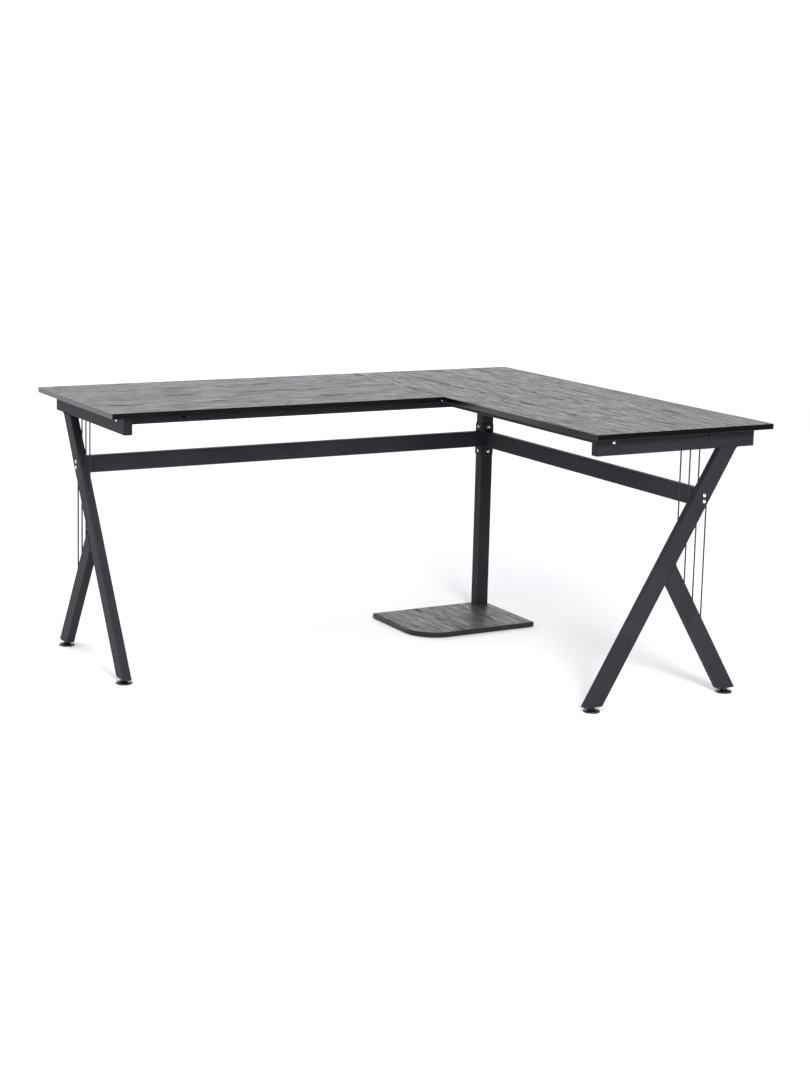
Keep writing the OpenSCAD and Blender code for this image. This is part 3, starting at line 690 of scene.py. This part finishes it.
class BoardLook(bpy.types.PropertyGroup):
    """The boards' printed foil and their edge bands"""

    foil_mid: bpy.props.FloatVectorProperty(
        name="Foil", description="Black-brown of the printed wood", subtype="COLOR", size=3,
        default=linear("1b1b1d"),
    )
    foil_light: bpy.props.FloatVectorProperty(
        name="Light wood", description="Paler streaks of the print", subtype="COLOR", size=3,
        default=linear("535356"),
    )
    foil_dark: bpy.props.FloatVectorProperty(
        name="Dark wood", description="Rings, dashes and pores", subtype="COLOR", size=3,
        default=linear("0b0b0c"),
    )
    foil_roughness: bpy.props.FloatProperty(
        name="Foil roughness", description="How matt the foil is", subtype="FACTOR",
        default=0.36, min=0.05, max=1.0,
    )
    foil_rough_swing: bpy.props.FloatProperty(
        name="Pore roughness", description="How much rougher the dark lines are", subtype="FACTOR",
        default=0.37, min=0.0, max=1.0,
    )
    foil_gloss: bpy.props.FloatProperty(
        name="Foil gloss", description="Strength of the foil's reflection", subtype="FACTOR",
        default=0.42, min=0.0, max=1.0,
    )
    ring_depth: bpy.props.FloatProperty(
        name="Ring depth", description="How dark the growth rings are", subtype="FACTOR",
        default=0.4, min=0.0, max=1.0,
    )
    emboss: bpy.props.FloatProperty(
        name="Embossing", description="Depth of the foil's pressed grain", unit="LENGTH",
        default=0.2 * MM, min=0.0, max=1.0 * MM,
    )
    plank: bpy.props.FloatProperty(
        name="Print repeat", description="Width of one plank of the print", unit="LENGTH",
        default=148 * MM, min=40 * MM, max=400 * MM,
    )
    band: bpy.props.FloatVectorProperty(
        name="Edge band", description="Colour of the edge band", subtype="COLOR", size=3,
        default=linear("050506"),
    )
    band_gloss: bpy.props.FloatProperty(
        name="Band gloss", description="Strength of the band's reflection", subtype="FACTOR",
        default=0.44, min=0.0, max=1.0,
    )
    easing: bpy.props.FloatProperty(
        name="Edge round", description="Round on the bands' outer edges", unit="LENGTH",
        default=0.8 * MM, min=0.1 * MM, max=0.9 * MM,
    )


class FrameLook(bpy.types.PropertyGroup):
    """The steel frame's powder coat, plates and welds"""

    coat: bpy.props.FloatVectorProperty(
        name="Coat", description="Colour of the powder coat", subtype="COLOR", size=3,
        default=linear("26272b"),
    )
    roughness: bpy.props.FloatProperty(
        name="Roughness", description="How matt the coat is", subtype="FACTOR",
        default=0.52, min=0.05, max=1.0,
    )
    gloss: bpy.props.FloatProperty(
        name="Gloss", description="Strength of the coat's reflection", subtype="FACTOR",
        default=0.08, min=0.0, max=1.0,
    )
    peel: bpy.props.FloatProperty(
        name="Orange peel", description="Width of the coat's ripples", unit="LENGTH",
        default=1.6 * MM, min=0.2 * MM, max=6 * MM,
    )
    easing: bpy.props.FloatProperty(
        name="Plate edge round", description="Round on the plates' edges", unit="LENGTH",
        default=0.5 * MM, min=0.1 * MM, max=2 * MM,
    )
    bead: bpy.props.FloatProperty(
        name="Weld bead", description="Radius of the weld beads", unit="LENGTH",
        default=1.5 * MM, min=0.3 * MM, max=3 * MM,
    )


class SmallPartLook(bpy.types.PropertyGroup):
    """The fasteners, plugs, pads and feet"""

    zinc: bpy.props.FloatVectorProperty(
        name="Zinc", description="Colour of the plated fasteners", subtype="COLOR", size=3,
        default=linear("e2e3e6"),
    )
    bar_steel: bpy.props.FloatVectorProperty(
        name="Bar steel", description="Colour of the threaded blocks", subtype="COLOR", size=3,
        default=linear("8a8b8f"),
    )
    plug: bpy.props.FloatVectorProperty(
        name="Plugs", description="Colour of the end plugs and shelf pads", subtype="COLOR", size=3,
        default=linear("16171a"),
    )
    plug_easing: bpy.props.FloatProperty(
        name="Plug edge round", description="Round on the plugs' edges", unit="LENGTH",
        default=0.7 * MM, min=0.1 * MM, max=1 * MM,
    )
    foot: bpy.props.FloatVectorProperty(
        name="Feet", description="Colour of the foot pads", subtype="COLOR", size=3, default=linear("101012")
    )
    thread_pitch: bpy.props.FloatProperty(
        name="Thread pitch", description="Lead of the feet's thread", unit="LENGTH",
        default=1.25 * MM, min=0.5 * MM, max=3 * MM,
    )


class StageLook(bpy.types.PropertyGroup):
    """The studio: its floor, its light and the camera"""

    floor: bpy.props.FloatVectorProperty(
        name="Floor", description="Colour of the studio floor", subtype="COLOR", size=3,
        default=linear("f7f7f7"),
    )
    eye: bpy.props.FloatVectorProperty(
        name="Camera place", description="Where the camera stands", subtype="XYZ", unit="LENGTH", size=3,
        default=(-2.7014, -4.74875, 1.51),
    )
    aim: bpy.props.FloatVectorProperty(
        name="Camera aim", description="Pitch, roll and heading of the camera", subtype="EULER",
        unit="ROTATION", size=3, default=(math.radians(-9.177), math.radians(1.455), math.radians(-29.993)),
    )
    lens: bpy.props.FloatProperty(
        name="Lens", description="Focal length for a 36 mm frame", unit="CAMERA",
        default=65.67, min=10.0, max=300.0,
    )
    rise: bpy.props.FloatProperty(
        name="Lens rise", description="Upward shift of the lens, as a share of the frame",
        default=-0.0833, min=-0.5, max=0.5,
    )
    back_surround: bpy.props.FloatProperty(
        name="Back surround", description="Brightness of the surround behind the desk",
        default=1.4, min=0.0, max=10.0,
    )
    front_surround: bpy.props.FloatProperty(
        name="Front surround", description="Brightness of the surround before the desk",
        default=0.1, min=0.0, max=10.0,
    )
    tint: bpy.props.FloatVectorProperty(
        name="Surround tint", description="Colour of the surround's light", subtype="COLOR", size=3,
        default=linear("fbfcff"),
    )
    floor_back: bpy.props.FloatProperty(
        name="Floor's back edge", description="Where the floor ends behind the desk", unit="LENGTH",
        default=3.8,
    )
    floor_front: bpy.props.FloatProperty(
        name="Floor's front edge", description="Where the floor ends before the desk", unit="LENGTH",
        default=-3.0,
    )
    overhead: bpy.props.FloatProperty(
        name="Overhead light", description="Power of the soft light above", unit="POWER",
        default=60.0, min=0.0, max=5000.0,
    )
    key: bpy.props.FloatProperty(
        name="Front light", description="Power of the soft light above the camera", unit="POWER",
        default=250.0, min=0.0, max=5000.0,
    )


LOOKS = (
    ("desk_boards", BoardLook),
    ("desk_frame", FrameLook),
    ("desk_small_parts", SmallPartLook),
    ("desk_stage", StageLook),
)


# ---------- operators ----------


class DESK_OT_boards(bpy.types.Operator):
    """Boards and shelf: black-ash foil, with the grain along each board's length"""

    bl_idname = "desk.boards"
    bl_label = "Boards"

    def execute(self, context):
        look = context.scene.desk_boards
        for board, (name, turn, shift) in FOILS.items():
            paint(ash_foil(name, turn, shift, look), NODES[board])
        return {"FINISHED"}


class DESK_OT_bands(bpy.types.Operator):
    """Edge bands with eased edges"""

    bl_idname = "desk.bands"
    bl_label = "Edge bands"

    def execute(self, context):
        look = context.scene.desk_boards
        black = edge_band(look)
        for board in FOILS:
            band = eased_band(f"{board}_band", board, look.easing)
            paint(black, band, NODES[f"{board}_band"])
            stand_for(band, f"{board}_band", "desk")
        return {"FINISHED"}


class DESK_OT_frames(bpy.types.Operator):
    """Side frames, front rails, stretchers and post: powder-coated tube and rod"""

    bl_idname = "desk.frames"
    bl_label = "Tube frames"

    def execute(self, context):
        look = context.scene.desk_frame
        coat = powder_coat(look)
        for node in (*TUBES, "left_rods", "right_rods", *PLATES):
            paint(coat, NODES[node])
        for node in PLATES:
            plate = eased_copy(node, look.easing)
            paint(coat, plate)
            stand_for(plate, node, "desk")
        beads = [frame_welds(side, look.bead) for side in SIDES]
        beads += [stretcher_weld(name, plane, look.bead) for name, plane in (("long", 0), ("return", 1))]
        paint(coat, *beads)
        for bead in beads:
            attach(bead, "desk")
        return {"FINISHED"}


class DESK_OT_fasteners(bpy.types.Operator):
    """Bolts, screws and seam plates in bright zinc, blocks in bare steel"""

    bl_idname = "desk.fasteners"
    bl_label = "Fasteners"

    def execute(self, context):
        look = context.scene.desk_small_parts
        zinc = zinc_plate(look)
        for node in (*FASTENERS, "seam_plates", *(f"{foot}_stem" for foot in FEET)):
            paint(zinc, NODES[node])
        plates = eased_copy("seam_plates", width=0.4 * MM)
        paint(zinc, plates)
        stand_for(plates, "seam_plates", "desk")
        for foot in FEET:
            stem = threaded_stem(foot, look.thread_pitch)
            paint(zinc, stem)
            stand_for(stem, f"{foot}_stem", f"{foot}_screw")
        paint(mill_steel(look), *(NODES[node] for node in BLOCKS))
        return {"FINISHED"}


class DESK_OT_plugs(bpy.types.Operator):
    """End plugs and shelf pads in matt moulded plastic"""

    bl_idname = "desk.plugs"
    bl_label = "Plugs and pads"

    def execute(self, context):
        look = context.scene.desk_small_parts
        matt = moulded_plastic(
            "moulded_plug_polyethylene", look.plug, roughness=0.5, gloss=0.15, grain_depth=0.05 * MM
        )
        for node in (*PLUGS, "shelf_pads"):
            piece = eased_copy(node, look.plug_easing)
            paint(matt, piece, NODES[node])
            stand_for(piece, node, "desk")
        return {"FINISHED"}


class DESK_OT_feet(bpy.types.Operator):
    """Foot pads in glossy moulded plastic"""

    bl_idname = "desk.feet"
    bl_label = "Feet"

    def execute(self, context):
        look = context.scene.desk_small_parts
        glossy = moulded_plastic(
            "moulded_foot_polypropylene", look.foot, roughness=0.22, gloss=0.5, grain_depth=0.01 * MM
        )
        for foot in FEET:
            pad = turned_pad(foot)
            paint(glossy, pad, NODES[f"{foot}_pad"])
            stand_for(pad, f"{foot}_pad", f"{foot}_foot")
        return {"FINISHED"}


class DESK_OT_stage(bpy.types.Operator):
    """Pale floor, soft studio light and the camera"""

    bl_idname = "desk.stage"
    bl_label = "Stage"

    def execute(self, context):
        scene, look = context.scene, context.scene.desk_stage
        scene.view_settings.view_transform = "Standard"
        world = bpy.data.worlds.new("white_surround")
        scene.world = world
        world.use_nodes = True
        # Bright behind and above, dim in front and low down; the camera itself sees plain white
        node = partial(add, world.node_tree)
        up_and_back, dimmest, brightest, camera_white = (-0.32, 0.84, 0.44), -0.85, 0.8, 1.2
        direction = node("TexCoord").outputs["Generated"]
        behind = node("VectorMath", (direction, up_and_back), operation="DOT_PRODUCT").outputs["Value"]
        levels = (behind, dimmest, brightest, look.front_surround, look.back_surround)
        glow = node("MapRange", levels, **SMOOTHSTEP)
        camera_ray = node("LightPath").outputs["Is Camera Ray"]
        seen = node("Math", (camera_ray, camera_white), operation="MULTIPLY")
        strength = node("Math", (glow, seen), operation="MAXIMUM")
        background = world.node_tree.nodes["Background"]
        background.inputs["Color"].default_value = colour(look.tint)
        world.node_tree.links.new(strength.outputs[0], background.inputs["Strength"])

        floor_side = 30.0
        floor = flat_sheet("studio_floor", -floor_side, floor_side, look.floor_front, look.floor_back, 0.0)
        pale, _, _ = new_material("studio_floor_paint", Base_Color=colour(look.floor), Roughness=0.9)
        paint(pale, floor)

        # Two square soft lights, by place, side and power, look at the middle of the desk
        middle = Vector((0.0, 0.0, 0.45))
        for name, place, size, power in (
            ("overhead_softbox", (-1.5, -1.5, 3.6), 4.0, look.overhead),
            ("front_softbox", (-0.9, -4.8, 2.75), 1.4, look.key),
        ):
            light = bpy.data.lights.new(name, "AREA")
            light.size = size
            light.energy = power
            lamp = bpy.data.objects.new(name, light)
            lamp.location = place
            lamp.rotation_euler = (middle - lamp.location).to_track_quat("-Z", "Y").to_euler()
            scene.collection.objects.link(lamp)

        pitch, roll, heading = look.aim
        ahead = Vector((-math.sin(heading), math.cos(heading), 0.0))
        right = Vector((math.cos(heading), math.sin(heading), 0.0))
        forward = ahead * math.cos(pitch) + Vector((0.0, 0.0, math.sin(pitch)))
        up = right.cross(forward)
        side = right * math.cos(roll) + up * math.sin(roll)
        top = up * math.cos(roll) - right * math.sin(roll)
        turn = Matrix((side, top, -forward)).transposed().to_4x4()
        lens = bpy.data.cameras.new("camera")
        lens.lens = look.lens
        lens.sensor_width = 36.0
        lens.shift_y = look.rise
        lens.clip_end = 200.0
        camera = bpy.data.objects.new("camera", lens)
        camera.matrix_world = Matrix.Translation(Vector(look.eye)) @ turn
        scene.collection.objects.link(camera)
        scene.camera = camera
        return {"FINISHED"}


OPERATORS = (
    DESK_OT_boards,
    DESK_OT_bands,
    DESK_OT_frames,
    DESK_OT_fasteners,
    DESK_OT_plugs,
    DESK_OT_feet,
    DESK_OT_stage,
)


class DESK_PT_panel(bpy.types.Panel):
    """Lists the desk's settings and the steps that build it"""

    bl_idname = "DESK_PT_panel"
    bl_label = "Corner desk"
    bl_space_type = "VIEW_3D"
    bl_region_type = "UI"
    bl_category = "Desk"

    def draw(self, context):
        for operator in OPERATORS:
            self.layout.operator(operator.bl_idname)
        for name, group in LOOKS:
            box = self.layout.box()
            for key in group.__annotations__:
                box.prop(getattr(context.scene, name), key)


CLASSES = (*(group for _, group in LOOKS), *OPERATORS, DESK_PT_panel)


def register():
    """Makes the settings, the steps and the panel known."""
    for each in CLASSES:
        bpy.utils.register_class(each)
    for name, group in LOOKS:
        setattr(bpy.types.Scene, name, bpy.props.PointerProperty(type=group))


def unregister():
    """Takes them away again."""
    for name, _ in LOOKS:
        delattr(bpy.types.Scene, name)
    for each in reversed(CLASSES):
        bpy.utils.unregister_class(each)


def main():
    """Builds the desk step by step."""
    register()
    for operator in OPERATORS:
        group, name = operator.bl_idname.split(".")
        getattr(getattr(bpy.ops, group), name)()


if __name__ == "__main__":
    main()
